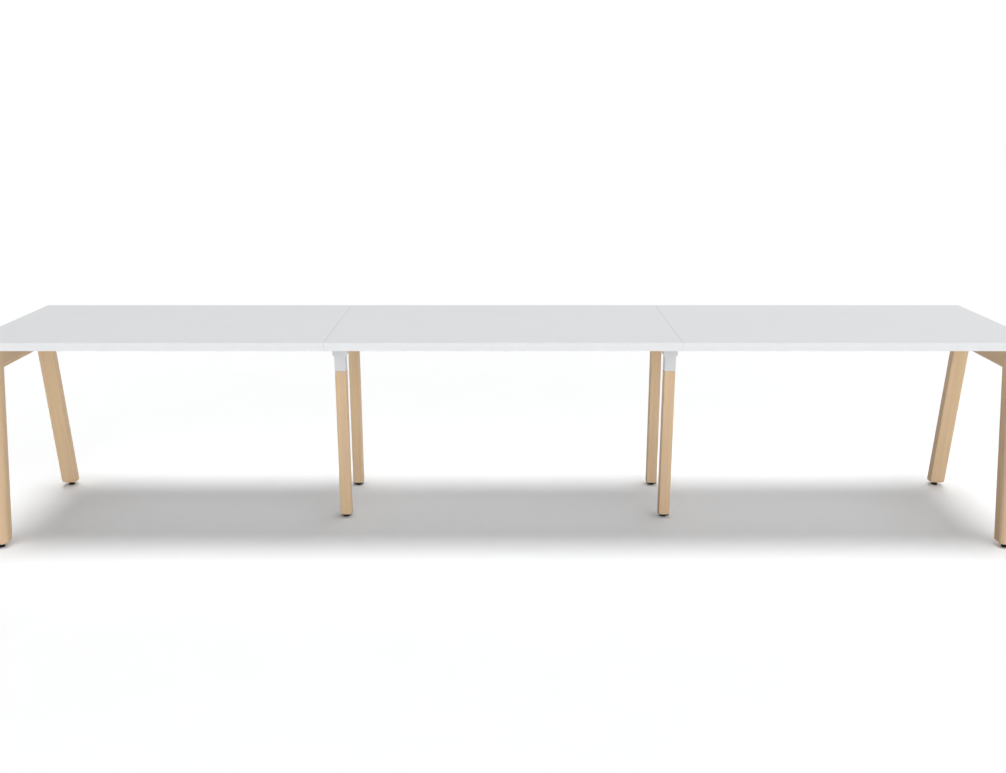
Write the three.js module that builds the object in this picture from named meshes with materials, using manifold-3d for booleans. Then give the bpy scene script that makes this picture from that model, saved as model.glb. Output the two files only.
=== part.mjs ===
// Three-section bench table: three laminate worktops in a row on two splayed timber end frames
// and two intermediate frames with upright timber posts. Millimetres, +Z up. The length runs
// along X, the front edge faces -Y, and the origin is the centre of the floor area.
import * as THREE from "three";
import { mergeVertices } from "three/addons/utils/BufferGeometryUtils.js";
import Module from "manifold-3d";

const wasm = await Module();
wasm.setup();

// Overall size
const TABLE_LENGTH = 3600;
const TABLE_WIDTH = 700;
const TABLE_HEIGHT = 740;
const SECTIONS = 3;
const GAP = 0.3; // air between touching pieces
const OVERRUN = 1; // how far a cut runs past the faces it opens

// Worktops
const TOP_THICK = 28;
const BAND_THICK = 2;
const SEAM_GAP = 0.8;
const TOP_CORNER = 2;

// End frames
const SPLAY = THREE.MathUtils.degToRad(9);
const LEG_WIDTH = 58;
const LEG_DEPTH = 52;
const LEG_OUTER_ROUND = 22;
const LEG_INNER_ROUND = 3;
const LEG_OUTER_STEPS = 6;
const LEG_INNER_STEPS = 2;
const FOOT_ROUND = 8;
const FOOT_ROUND_STEPS = 4;
const LEAST_ROUND = 0.4;
const WOOD_BOTTOM = 13;
const CROSSBAR_THICK = 40;
const CROSSBAR_HEIGHT = 92;
const CROSSBAR_INSET = 4; // crossbar's inner face, back from the legs' inner faces
const TENON_THICK = 16;
const TENON_DEPTH = 30;
const TENON_MARGIN = 16; // tenon's edges, in from the crossbar's edges

// Intermediate frames
const FRAME_SHIFT = 7; // both frames stand this far to +X of their seams
const POST_WIDTH = 40;
const POST_DEPTH = 46;
const POST_ROUND = 3;
const FRONT_RECESS = 300; // front posts, back from the worktop's front edge
const SOCKET_BOTTOM = 569;
const SOCKET_WALL = 2.5;
const HEAD_WIDTH = 52;
const HEAD_BOTTOM = 624;
const HEAD_TOP = 690;
const HEAD_FLOOR = 12;
const POST_TENON_TOP = 650;
const BOLT_HEIGHT = 596;
const BOLT_RADIUS = 3;
const BOLT_HEAD_RADIUS = 5.5;
const BOLT_HEAD_RIM = 0.4; // depth of the head's upright rim
const BOLT_CONE = 2.4; // depth of the countersink below the rim
const BOLT_SUNK = 0.2; // head, below the socket's face
const BOLT_STEPS = 16;

// Steelwork under the worktops
const PLATE_THICK = 3;
const BEAM_WIDTH = 45;
const BEAM_HEIGHT = 40;
const BEAM_WALL = 2.5;
const BEAM_FRONT = -152;
const BEAM_REAR = 344;
const BEAM_CAP_THICK = 3;
const BEAM_CAP_PLUG = 12;
const RAIL_WIDTH = 50;
const RAIL_HEIGHT = 30;
const RAIL_WALL = 2;
const RAIL_OFFSET = 105; // rails, front and rear of the centre line
const RAIL_PLATE_WIDTH = 80;
const RAIL_PLATE_HEIGHT = 34;
const RAIL_PLATE_DROP = 1; // end plates' top edge, below the rails' top face
const TUBE_ROUND = 4;
const ANGLE_LEG = 40;
const ANGLE_LENGTH = 330;
const SEAM_PLATE_WIDTH = 150;
const SEAM_PLATE_FRONT = -270;
const SEAM_PLATE_REAR = 310;

// Feet
const GLIDE_RADIUS = 12.5;
const GLIDE_BASE = 5;
const COLLAR_RADIUS = 7.5;
const COLLAR_TOP = 8;
const STUD_RADIUS = 4;
const STUD_TOP = 46;
const FOOT_PLATE_MARGIN = 1; // foot cap's edges, in from the post's faces
const FLANGE_RADIUS = 12;
const INSERT_RADIUS = 6;
const INSERT_BORE = 4.3;
const INSERT_TOP = 38;
const STUD_BORE_TOP = 54;
const GLIDE_EDGE = 1;
const ROUND_STEPS = 20;

// Heights and places that follow from the sizes
const UNDERSIDE = TABLE_HEIGHT - TOP_THICK;
const WOOD_TOP = UNDERSIDE - GAP;
const PLATE_BOTTOM = WOOD_TOP - PLATE_THICK;
const STEEL_TOP = PLATE_BOTTOM - GAP;
const BEAM_BOTTOM = STEEL_TOP - BEAM_HEIGHT;
const HALF_LENGTH = TABLE_LENGTH / 2;
const HALF_WIDTH = TABLE_WIDTH / 2;
const TOP_LENGTH = TABLE_LENGTH / SECTIONS;
const LEG_CENTRE_X = HALF_LENGTH - LEG_WIDTH / 2;
const LEG_INNER_X = HALF_LENGTH - LEG_WIDTH;
const CROSSBAR_FACE_X = LEG_INNER_X + CROSSBAR_INSET;
const CROSSBAR_BOTTOM = WOOD_TOP - CROSSBAR_HEIGHT;
const FOOT_PLATE_BOTTOM = COLLAR_TOP + GAP;
const FOOT_PLATE_TOP = WOOD_BOTTOM - GAP;
const POST_Y = {
  front: -HALF_WIDTH + FRONT_RECESS + POST_DEPTH / 2,
  rear: HALF_WIDTH - POST_DEPTH / 2,
};

const SIDES = [["left", -1], ["right", 1]];
const ENDS = [["front", -1], ["rear", 1]];

const MATERIALS = {
  laminate: { color: 0xe6e7e9, roughness: 0.45, metalness: 0 },
  edge_band: { color: 0xf2f2f3, roughness: 0.4, metalness: 0 },
  timber: { color: 0xd8b88c, roughness: 0.55, metalness: 0 },
  light_steel: { color: 0xcfd1d4, roughness: 0.4, metalness: 0.3 },
  cap_plastic: { color: 0xc6c8ca, roughness: 0.5, metalness: 0 },
  black_nylon: { color: 0x1c1b1a, roughness: 0.5, metalness: 0 },
  zinc_steel: { color: 0xb6b8ba, roughness: 0.35, metalness: 0.9 },
};

const table = new THREE.Group();

function addMesh(name, solid, slot, position = [0, 0, 0]) {
  const mesh = new THREE.Mesh(toGeometry(solid), new THREE.MeshStandardMaterial(MATERIALS[slot]));
  mesh.name = name;
  mesh.position.set(...position);
  table.add(mesh);
}

// Between three.js geometry and manifold solids
function toSolid(geometry) {
  const bare = geometry.clone();
  bare.deleteAttribute("normal");
  bare.deleteAttribute("uv");
  const merged = mergeVertices(bare, 1e-4);
  return new wasm.Manifold(new wasm.Mesh({
    numProp: 3,
    vertProperties: new Float32Array(merged.attributes.position.array),
    triVerts: new Uint32Array(merged.index.array),
  }));
}

function toGeometry(solid) {
  const mesh = solid.getMesh();
  const geometry = new THREE.BufferGeometry();
  geometry.setAttribute("position", new THREE.BufferAttribute(mesh.vertProperties, 3));
  geometry.setIndex(new THREE.BufferAttribute(mesh.triVerts, 1));
  geometry.computeVertexNormals();
  return geometry;
}

// Basic solids
function block([x0, x1], [y0, y1], [z0, z1]) {
  const geometry = new THREE.BoxGeometry(x1 - x0, y1 - y0, z1 - z0);
  geometry.translate((x0 + x1) / 2, (y0 + y1) / 2, (z0 + z1) / 2);
  return toSolid(geometry);
}

function roundedRect(width, height, radius) {
  const x = width / 2;
  const y = height / 2;
  const shape = new THREE.Shape();
  shape.moveTo(radius - x, -y);
  shape.lineTo(x - radius, -y);
  shape.absarc(x - radius, radius - y, radius, -Math.PI / 2, 0);
  shape.lineTo(x, y - radius);
  shape.absarc(x - radius, y - radius, radius, 0, Math.PI / 2);
  shape.lineTo(radius - x, y);
  shape.absarc(radius - x, y - radius, radius, Math.PI / 2, Math.PI);
  shape.lineTo(-x, radius - y);
  shape.absarc(radius - x, radius - y, radius, Math.PI, Math.PI * 1.5);
  return shape;
}

function ascending(pair) {
  return [Math.min(...pair), Math.max(...pair)];
}

function outline(points) {
  return new THREE.Shape(points.map(([x, y]) => new THREE.Vector2(x, y)));
}

// One curve segment makes two facets of each quarter round
function extrude(shape, depth) {
  return new THREE.ExtrudeGeometry(shape, { depth, curveSegments: 1, bevelEnabled: false });
}

// A shape drawn in X and Y, extruded up from z0 to z1 about (x, y)
function alongZ(shape, x, y, [z0, z1]) {
  const geometry = extrude(shape, z1 - z0);
  geometry.translate(x, y, z0);
  return toSolid(geometry);
}

// A shape drawn in X and Z, extruded in depth from y0 to y1 about (x, z)
function alongY(shape, x, z, [y0, y1]) {
  const geometry = extrude(shape, y1 - y0);
  geometry.rotateX(Math.PI / 2);
  geometry.translate(x, y1, z);
  return toSolid(geometry);
}

// A shape drawn in Y and Z, extruded along the length from x0 to x1 about (y, z)
function alongX(shape, y, z, [x0, x1]) {
  const toLength = new THREE.Matrix4().makeBasis(
    new THREE.Vector3(0, 1, 0), new THREE.Vector3(0, 0, 1), new THREE.Vector3(1, 0, 0));
  const geometry = extrude(shape, x1 - x0);
  geometry.applyMatrix4(toLength);
  geometry.translate(x0, y, z);
  return toSolid(geometry);
}

// A turned shape about Z from [radius, height] points, starting and ending on the axis
function turned(profile, steps = ROUND_STEPS) {
  const points = profile.map(([radius, height]) => new THREE.Vector2(radius, height));
  const geometry = new THREE.LatheGeometry(points, steps);
  geometry.rotateX(Math.PI / 2);
  return geometry;
}

function rod(radius, [z0, z1]) {
  return turned([[0, z0], [radius, z0], [radius, z1], [0, z1]]);
}

// Worktops and their edge bands, left to right
function topRange(index) {
  const left = -HALF_LENGTH + index * TOP_LENGTH + (index > 0 ? SEAM_GAP / 2 : 0);
  const end = -HALF_LENGTH + (index + 1) * TOP_LENGTH;
  const right = end - (index < SECTIONS - 1 ? SEAM_GAP / 2 : 0);
  return [left, right];
}

function buildWorktop(name, index) {
  const [left, right] = topRange(index);
  const centre = (left + right) / 2;
  const length = right - left;
  const boardInset = 2 * (BAND_THICK + GAP);
  const heights = [UNDERSIDE, TABLE_HEIGHT];
  const board = roundedRect(length - boardInset, TABLE_WIDTH - boardInset, TOP_CORNER / 2);
  addMesh(`worktop_${name}`, alongZ(board, centre, 0, heights), "laminate");
  const band = roundedRect(length, TABLE_WIDTH, TOP_CORNER);
  const bandInset = 2 * BAND_THICK;
  band.holes.push(roundedRect(length - bandInset, TABLE_WIDTH - bandInset, TOP_CORNER / 2));
  addMesh(`edge_band_${name}`, alongZ(band, centre, 0, heights), "edge_band");
}

// End frames. The legs lean in towards the top, so a leg's faces shift in Y with height.
function legOuterY(z) {
  return HALF_WIDTH - (z - WOOD_BOTTOM) * Math.tan(SPLAY);
}

function legInnerY(z) {
  return legOuterY(z) - LEG_DEPTH;
}

// One horizontal section of a leg, shrunk by inset. The two outward edges are the rounder ones.
function legRing(side, end, z, inset) {
  const halfX = LEG_WIDTH / 2 - inset;
  const halfY = LEG_DEPTH / 2 - inset;
  const centreX = side * LEG_CENTRE_X;
  const centreY = end * (legOuterY(z) - LEG_DEPTH / 2);
  const corners = [[1, -1], [1, 1], [-1, 1], [-1, -1]];
  return corners.flatMap(([signX, signY], index) => {
    const outward = signY === end;
    const radius = Math.max((outward ? LEG_OUTER_ROUND : LEG_INNER_ROUND) - inset, LEAST_ROUND);
    const steps = outward ? LEG_OUTER_STEPS : LEG_INNER_STEPS;
    const startAngle = (index - 1) * Math.PI / 2;
    return Array.from({ length: steps + 1 }, (_, step) => {
      const angle = startAngle + step / steps * Math.PI / 2;
      const x = centreX + signX * (halfX - radius) + radius * Math.cos(angle);
      const y = centreY + signY * (halfY - radius) + radius * Math.sin(angle);
      return [x, y, z];
    });
  });
}

// A closed body through rings of equal point count, stacked from the bottom up
function loft(rings) {
  const count = rings[0].length;
  const triangles = [];
  for (let level = 0; level < rings.length - 1; level += 1) {
    for (let point = 0; point < count; point += 1) {
      const here = level * count + point;
      const next = level * count + (point + 1) % count;
      triangles.push(here, next, next + count);
      triangles.push(here, next + count, here + count);
    }
  }
  const lastRing = (rings.length - 1) * count;
  for (let point = 1; point < count - 1; point += 1) {
    triangles.push(0, point + 1, point);
    triangles.push(lastRing, lastRing + point, lastRing + point + 1);
  }
  const geometry = new THREE.BufferGeometry();
  geometry.setAttribute("position", new THREE.Float32BufferAttribute(rings.flat(2), 3));
  geometry.setIndex(triangles);
  return toSolid(geometry);
}

// The tenon runs through the crossbar and into both legs. Clearance grows it into the mortises.
function tenonSolid(side, clearance) {
  const low = CROSSBAR_BOTTOM + TENON_MARGIN - clearance;
  const high = WOOD_TOP - TENON_MARGIN + clearance;
  const reach = TENON_DEPTH + clearance;
  const lowY = legInnerY(low) + reach;
  const highY = legInnerY(high) + reach;
  const shape = outline([[-lowY, low], [lowY, low], [highY, high], [-highY, high]]);
  const centre = side * (CROSSBAR_FACE_X + CROSSBAR_THICK / 2);
  const half = TENON_THICK / 2 + clearance;
  return alongX(shape, 0, 0, [centre - half, centre + half]);
}

// Blind hole up a leg or post: a wide length for the insert, then room for the glide's stud
function footBore(x, y) {
  const insertHole = rod(INSERT_RADIUS + GAP, [WOOD_BOTTOM - OVERRUN, INSERT_TOP + GAP]);
  const studHole = rod(STUD_RADIUS + 2 * GAP, [INSERT_TOP, STUD_BORE_TOP]);
  return [insertHole, studHole].map((hole) => toSolid(hole.translate(x, y, 0)));
}

function glideY(end) {
  return end * (legOuterY(WOOD_BOTTOM) - LEG_DEPTH / 2);
}

function buildEndLeg(sideName, side, endName, end) {
  const rings = [];
  for (let step = 0; step <= FOOT_ROUND_STEPS; step += 1) {
    const angle = step / FOOT_ROUND_STEPS * Math.PI / 2;
    const z = WOOD_BOTTOM + FOOT_ROUND * (1 - Math.cos(angle));
    rings.push(legRing(side, end, z, FOOT_ROUND * (1 - Math.sin(angle))));
  }
  rings.push(legRing(side, end, WOOD_TOP, 0));
  let leg = loft(rings).subtract(tenonSolid(side, GAP));
  for (const hole of footBore(side * LEG_CENTRE_X, glideY(end))) {
    leg = leg.subtract(hole);
  }
  addMesh(`end_leg_${sideName}_${endName}`, leg, "timber");
}

function buildCrossbar(sideName, side) {
  const lowY = legInnerY(CROSSBAR_BOTTOM) - GAP;
  const highY = legInnerY(WOOD_TOP) - GAP;
  const face = outline([
    [-lowY, CROSSBAR_BOTTOM],
    [lowY, CROSSBAR_BOTTOM],
    [highY, WOOD_TOP],
    [-highY, WOOD_TOP],
  ]);
  const faces = [side * CROSSBAR_FACE_X, side * (CROSSBAR_FACE_X + CROSSBAR_THICK)];
  const board = alongX(face, 0, 0, ascending(faces));
  addMesh(`end_crossbar_${sideName}`, board.add(tenonSolid(side, 0)), "timber");
}

// Steel angle on the crossbar's inner face, with its other leg under the worktop
function buildEndBracket(sideName, side) {
  const outer = CROSSBAR_FACE_X - GAP;
  const inner = outer - PLATE_THICK;
  const points = [
    [outer, WOOD_TOP - ANGLE_LEG],
    [outer, WOOD_TOP],
    [outer - ANGLE_LEG, WOOD_TOP],
    [outer - ANGLE_LEG, PLATE_BOTTOM],
    [inner, PLATE_BOTTOM],
    [inner, WOOD_TOP - ANGLE_LEG],
  ].map(([x, z]) => [side * x, z]);
  const bracket = alongY(outline(points), 0, 0, [-ANGLE_LENGTH / 2, ANGLE_LENGTH / 2]);
  addMesh(`end_bracket_${sideName}`, bracket, "light_steel");
}

// Intermediate frames
function frameX(side) {
  return side * TOP_LENGTH / 2 + FRAME_SHIFT;
}

function buildPost(sideName, side, endName) {
  const x = frameX(side);
  const y = POST_Y[endName];
  const section = roundedRect(POST_WIDTH, POST_DEPTH, POST_ROUND);
  const shoulder = SOCKET_BOTTOM - GAP;
  const shaft = alongZ(section, x, y, [WOOD_BOTTOM, shoulder]);
  const tenonHalfX = POST_WIDTH / 2 - SOCKET_WALL - GAP;
  const tenonHalfY = POST_DEPTH / 2 - SOCKET_WALL - GAP;
  const tenon = block(
    [x - tenonHalfX, x + tenonHalfX], [y - tenonHalfY, y + tenonHalfY], [shoulder - OVERRUN, POST_TENON_TOP]);
  let post = shaft.add(tenon).subtract(headBoltSolid(x, y, side, GAP));
  for (const hole of footBore(x, y)) {
    post = post.subtract(hole);
  }
  addMesh(`post_${sideName}_${endName}`, post, "timber");
}

// Countersunk bolt across the socket, with its head on the side away from the table's middle.
// With a clearance it is the hole for that bolt, and runs past both faces.
function headBoltSolid(x, y, side, clearance) {
  const start = clearance > 0 ? -OVERRUN : BOLT_SUNK;
  const length = POST_WIDTH + (clearance > 0 ? OVERRUN : -BOLT_SUNK);
  const headRadius = BOLT_HEAD_RADIUS + clearance;
  const shankRadius = BOLT_RADIUS + clearance;
  const profile = [
    [0, start],
    [headRadius, start],
    [headRadius, BOLT_HEAD_RIM],
    [shankRadius, BOLT_HEAD_RIM + BOLT_CONE],
    [shankRadius, length],
    [0, length],
  ];
  const bolt = turned(profile, BOLT_STEPS);
  bolt.rotateY(-side * Math.PI / 2);
  bolt.translate(x + side * POST_WIDTH / 2, y, BOLT_HEIGHT);
  return toSolid(bolt);
}

// A socket on the post's top that widens into a saddle for the crossbeam
function buildPostHead(sideName, side, endName) {
  const x = frameX(side);
  const y = POST_Y[endName];
  const half = POST_WIDTH / 2;
  const headHalf = HEAD_WIDTH / 2;
  const round = headHalf - half;
  const shape = new THREE.Shape();
  shape.moveTo(-half, SOCKET_BOTTOM);
  shape.lineTo(half, SOCKET_BOTTOM);
  shape.lineTo(half, HEAD_BOTTOM);
  shape.absarc(half, HEAD_BOTTOM + round, round, -Math.PI / 2, 0);
  shape.lineTo(headHalf, HEAD_TOP);
  shape.lineTo(-headHalf, HEAD_TOP);
  shape.lineTo(-headHalf, HEAD_BOTTOM + round);
  shape.absarc(-half, HEAD_BOTTOM + round, round, Math.PI, Math.PI * 1.5);
  const halfDepth = POST_DEPTH / 2;
  const saddleFloor = BEAM_BOTTOM - GAP;
  const cavityX = half - SOCKET_WALL;
  const cavityY = halfDepth - SOCKET_WALL;
  const cavity = block(
    [x - cavityX, x + cavityX],
    [y - cavityY, y + cavityY],
    [SOCKET_BOTTOM - OVERRUN, saddleFloor - HEAD_FLOOR]);
  const saddleHalf = BEAM_WIDTH / 2 + GAP;
  const saddle = block(
    [x - saddleHalf, x + saddleHalf],
    [y - halfDepth - OVERRUN, y + halfDepth + OVERRUN],
    [saddleFloor, HEAD_TOP + OVERRUN]);
  const head = alongY(shape, x, 0, [y - halfDepth, y + halfDepth])
    .subtract(cavity)
    .subtract(saddle)
    .subtract(headBoltSolid(x, y, side, GAP));
  addMesh(`post_head_${sideName}_${endName}`, head, "light_steel");
  addMesh(`head_bolt_${sideName}_${endName}`, headBoltSolid(x, y, side, 0), "zinc_steel");
}

function buildFootCap(sideName, side, endName) {
  const x = frameX(side);
  const y = POST_Y[endName];
  const margin = 2 * FOOT_PLATE_MARGIN;
  const plate = roundedRect(POST_WIDTH - margin, POST_DEPTH - margin, POST_ROUND);
  const hole = toSolid(rod(STUD_RADIUS + 2 * GAP, [0, WOOD_BOTTOM]).translate(x, y, 0));
  const cap = alongZ(plate, x, y, [FOOT_PLATE_BOTTOM, FOOT_PLATE_TOP]).subtract(hole);
  addMesh(`foot_cap_${sideName}_${endName}`, cap, "black_nylon");
}

// Steelwork
function tubeShape(width, height) {
  return roundedRect(width, height, TUBE_ROUND);
}

function tubeBore(width, height, wall) {
  return roundedRect(width - 2 * wall, height - 2 * wall, TUBE_ROUND - wall);
}

function buildCrossbeam(sideName, side) {
  const x = frameX(side);
  const z = STEEL_TOP - BEAM_HEIGHT / 2;
  const section = tubeShape(BEAM_WIDTH, BEAM_HEIGHT);
  const boreSection = tubeBore(BEAM_WIDTH, BEAM_HEIGHT, BEAM_WALL);
  const tube = alongY(section, x, z, [BEAM_FRONT, BEAM_REAR]);
  const bore = alongY(boreSection, x, z, [BEAM_FRONT - OVERRUN, BEAM_REAR + OVERRUN]);
  addMesh(`crossbeam_${sideName}`, tube.subtract(bore), "light_steel");
  const plugInset = 2 * (BEAM_WALL + GAP);
  const plugSection = roundedRect(BEAM_WIDTH - plugInset, BEAM_HEIGHT - plugInset, TUBE_ROUND - BEAM_WALL);
  for (const [endName, end] of ENDS) {
    const mouth = end < 0 ? BEAM_FRONT : BEAM_REAR;
    const inner = mouth + end * GAP;
    const outer = inner + end * BEAM_CAP_THICK;
    const middle = (inner + outer) / 2;
    const plate = alongY(section, x, z, ascending([inner, outer]));
    const plug = alongY(plugSection, x, z, ascending([middle, mouth - end * BEAM_CAP_PLUG]));
    addMesh(`beam_cap_${sideName}_${endName}`, plate.add(plug), "cap_plastic");
  }
}

function railRange(index) {
  const bracketFace = CROSSBAR_FACE_X - 2 * GAP - PLATE_THICK;
  const beamFace = BEAM_WIDTH / 2 + GAP;
  const stops = [
    -bracketFace,
    frameX(-1) - beamFace,
    frameX(-1) + beamFace,
    frameX(1) - beamFace,
    frameX(1) + beamFace,
    bracketFace,
  ];
  return [stops[2 * index], stops[2 * index + 1]];
}

// A rail is a tube with a welded plate on each end, open right through
function buildRail(bayName, index, endName, end) {
  const [left, right] = railRange(index);
  const y = end * RAIL_OFFSET;
  const z = STEEL_TOP - RAIL_HEIGHT / 2;
  const plateZ = STEEL_TOP - RAIL_PLATE_DROP - RAIL_PLATE_HEIGHT / 2;
  const plateShape = roundedRect(RAIL_PLATE_WIDTH, RAIL_PLATE_HEIGHT, TUBE_ROUND);
  const rail = alongX(tubeShape(RAIL_WIDTH, RAIL_HEIGHT), y, z, [left, right])
    .add(alongX(plateShape, y, plateZ, [left, left + PLATE_THICK]))
    .add(alongX(plateShape, y, plateZ, [right - PLATE_THICK, right]))
    .subtract(alongX(tubeBore(RAIL_WIDTH, RAIL_HEIGHT, RAIL_WALL), y, z, [left - OVERRUN, right + OVERRUN]));
  addMesh(`rail_${bayName}_${endName}`, rail, "light_steel");
}

function buildSeamPlate(sideName, side) {
  const seam = side * TOP_LENGTH / 2;
  const half = SEAM_PLATE_WIDTH / 2;
  const plate = block(
    [seam - half, seam + half], [SEAM_PLATE_FRONT, SEAM_PLATE_REAR], [PLATE_BOTTOM, WOOD_TOP]);
  addMesh(`seam_plate_${sideName}`, plate, "light_steel");
}

// Feet: an insert in the wood and a glide whose stud turns in it
function buildInsert(name, x, y, flanged) {
  const flange = [
    [INSERT_BORE, FOOT_PLATE_BOTTOM],
    [FLANGE_RADIUS, FOOT_PLATE_BOTTOM],
    [FLANGE_RADIUS, FOOT_PLATE_TOP],
    [INSERT_RADIUS, FOOT_PLATE_TOP],
  ];
  const flush = [
    [INSERT_BORE, WOOD_BOTTOM + 2 * GAP],
    [INSERT_RADIUS, WOOD_BOTTOM + 2 * GAP],
  ];
  const mouth = flanged ? flange : flush;
  const profile = [...mouth, [INSERT_RADIUS, INSERT_TOP], [INSERT_BORE, INSERT_TOP], mouth[0]];
  addMesh(`insert_${name}`, toSolid(turned(profile)), flanged ? "black_nylon" : "zinc_steel", [x, y, 0]);
}

function buildGlide(name, x, y) {
  const glide = turned([
    [0, 0],
    [GLIDE_RADIUS - GLIDE_EDGE, 0],
    [GLIDE_RADIUS, GLIDE_EDGE],
    [GLIDE_RADIUS, GLIDE_BASE - GLIDE_EDGE],
    [GLIDE_RADIUS - GLIDE_EDGE, GLIDE_BASE],
    [COLLAR_RADIUS, GLIDE_BASE],
    [COLLAR_RADIUS, COLLAR_TOP],
    [STUD_RADIUS, COLLAR_TOP],
    [STUD_RADIUS, STUD_TOP],
    [0, STUD_TOP],
  ]);
  addMesh(`glide_${name}`, toSolid(glide), "black_nylon", [x, y, 0]);
}

["left", "centre", "right"].forEach((name, index) => {
  buildWorktop(name, index);
  for (const [endName, end] of ENDS) {
    buildRail(name, index, endName, end);
  }
});
for (const [sideName, side] of SIDES) {
  buildCrossbar(sideName, side);
  buildEndBracket(sideName, side);
  buildCrossbeam(sideName, side);
  buildSeamPlate(sideName, side);
  for (const [endName, end] of ENDS) {
    const corner = `${sideName}_${endName}`;
    buildEndLeg(sideName, side, endName, end);
    buildInsert(`end_${corner}`, side * LEG_CENTRE_X, glideY(end), true);
    buildGlide(`end_${corner}`, side * LEG_CENTRE_X, glideY(end));
    buildPost(sideName, side, endName);
    buildPostHead(sideName, side, endName);
    buildFootCap(sideName, side, endName);
    buildInsert(`post_${corner}`, frameX(side), POST_Y[endName], false);
    buildGlide(`post_${corner}`, frameX(side), POST_Y[endName]);
  }
}

export default table;
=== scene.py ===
import math
import random

import bmesh
import bpy
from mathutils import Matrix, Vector


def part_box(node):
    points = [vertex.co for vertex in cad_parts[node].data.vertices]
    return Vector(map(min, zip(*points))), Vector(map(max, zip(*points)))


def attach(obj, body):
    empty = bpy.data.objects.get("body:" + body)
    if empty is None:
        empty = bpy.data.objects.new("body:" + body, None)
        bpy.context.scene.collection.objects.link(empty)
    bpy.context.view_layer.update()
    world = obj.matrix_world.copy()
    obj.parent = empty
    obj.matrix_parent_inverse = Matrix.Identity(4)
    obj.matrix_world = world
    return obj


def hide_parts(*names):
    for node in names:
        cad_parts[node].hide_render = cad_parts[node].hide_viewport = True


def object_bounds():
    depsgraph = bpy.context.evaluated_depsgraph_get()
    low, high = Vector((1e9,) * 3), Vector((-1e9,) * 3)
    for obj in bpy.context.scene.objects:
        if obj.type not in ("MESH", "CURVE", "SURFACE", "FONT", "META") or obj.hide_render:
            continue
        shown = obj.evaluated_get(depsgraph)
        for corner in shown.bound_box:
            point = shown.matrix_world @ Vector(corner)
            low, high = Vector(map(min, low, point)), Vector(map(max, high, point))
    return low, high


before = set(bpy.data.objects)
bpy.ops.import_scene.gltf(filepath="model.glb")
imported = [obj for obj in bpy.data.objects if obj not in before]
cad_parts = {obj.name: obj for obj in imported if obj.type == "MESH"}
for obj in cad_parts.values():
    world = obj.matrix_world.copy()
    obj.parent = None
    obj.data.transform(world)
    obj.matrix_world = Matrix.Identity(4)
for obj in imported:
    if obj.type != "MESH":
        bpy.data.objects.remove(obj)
cad_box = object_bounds()

MM = 0.001
SIDES = (("left", -1), ("right", 1))
ENDS = (("front", -1), ("rear", 1))
BAYS = ("left", "centre", "right")
CORNERS = [(side, x, end, y) for side, x in SIDES for end, y in ENDS]

# Shapes that the frame's boxes don't give
WOOD_BOTTOM = 13 * MM
SPLAY = math.radians(9)
LEG_DEPTH = 52 * MM
LEG_OUTER_ROUND = 22 * MM
LEG_INNER_ROUND = 3 * MM
FOOT_ROUND = 12 * MM
TENON_THICK = 16 * MM
TENON_REACH = 30 * MM
TENON_MARGIN = 16 * MM
POST_ROUND = 3 * MM
HEAD_STEP = 624 * MM
HEAD_ROUND = 6 * MM
SOCKET_WIDTH = 40 * MM
SOCKET_WALL = 2.5 * MM
HEAD_FLOOR = 12 * MM
TUBE_ROUND = 4 * MM
BEAM_WALL = 2.5 * MM
RAIL_WALL = 2 * MM
RAIL_WIDTH = 50 * MM
RAIL_HEIGHT = 30 * MM
RAIL_OFFSET = 105 * MM
PLATE = 3 * MM
BOARD_EDGE = 2 * MM
SEAM_REACH = 0.25 * MM
GAP = 0.3 * MM
INSERT_RADIUS = 6 * MM
INSERT_HOLE = 6.2 * MM
INSERT_HOLE_TOP = 38.3 * MM
STUD_RADIUS = 4 * MM
STUD_HOLE = 4.6 * MM
STUD_HOLE_TOP = 54 * MM
THREAD_PITCH = 1.25 * MM
THREAD_DEPTH = 0.6 * MM
GLIDE_HEXAGON = 12.9 * MM
GLIDE_TOP = 8 * MM
SCREW_RADIUS = 1.8 * MM
BOLT_RADIUS = 3 * MM
SHARP_ANGLE = math.radians(32)

# Light: a wide sun straight above, and a studio brightest in front, turned a little to the right.
# Levels are sines of the angle above the horizon, where a patch is dark and where it is full.
SUN_STRENGTH = 0.648 * math.pi
SUN_ANGLE = math.radians(24)
SKY_FRONT = 7.2
SKY_TURN = math.radians(7)
SKY_REAR = 0.8
SKY_RIGHT = 1.35
FRONT_LEVELS = (0.6, 0.0)
SIDE_LEVELS = (0.87, 0.6)
BACKDROP = 1.05

# Camera, solved from the table's own edges
CAMERA_LENS = 38.81
CAMERA_SHIFT = (-0.0002, 0.0091)
CAMERA_PLACE = (0, -3.884, 1.5118)
CAMERA_TILT = math.radians(74.90)


# Mesh building

def new_piece(name, points, faces):
    mesh = bpy.data.meshes.new(name)
    mesh.from_pydata(points, [], faces)
    work = bmesh.new()
    work.from_mesh(mesh)
    bmesh.ops.recalc_face_normals(work, faces=work.faces)
    work.to_mesh(mesh)
    work.free()
    piece = bpy.data.objects.new(name, mesh)
    bpy.context.scene.collection.objects.link(piece)
    return piece


def loft(rings, closed=False):
    """Points and faces of a body through rings of equal point count, capped unless it closes on itself."""
    count = len(rings[0])
    points = [point for ring in rings for point in ring]
    faces = []
    for level in range(len(rings) if closed else len(rings) - 1):
        low = level * count
        high = (level + 1) % len(rings) * count
        for here in range(count):
            after = (here + 1) % count
            faces.append((low + here, low + after, high + after, high + here))
    if not closed:
        faces.append(tuple(range(count)))
        faces.append(tuple(range(len(points) - count, len(points))))
    return points, faces


def join(name, shapes):
    """One piece from several separate closed bodies."""
    points = []
    faces = []
    for shape_points, shape_faces in shapes:
        start = len(points)
        points += shape_points
        faces += [tuple(start + corner for corner in face) for face in shape_faces]
    return new_piece(name, points, faces)


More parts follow.
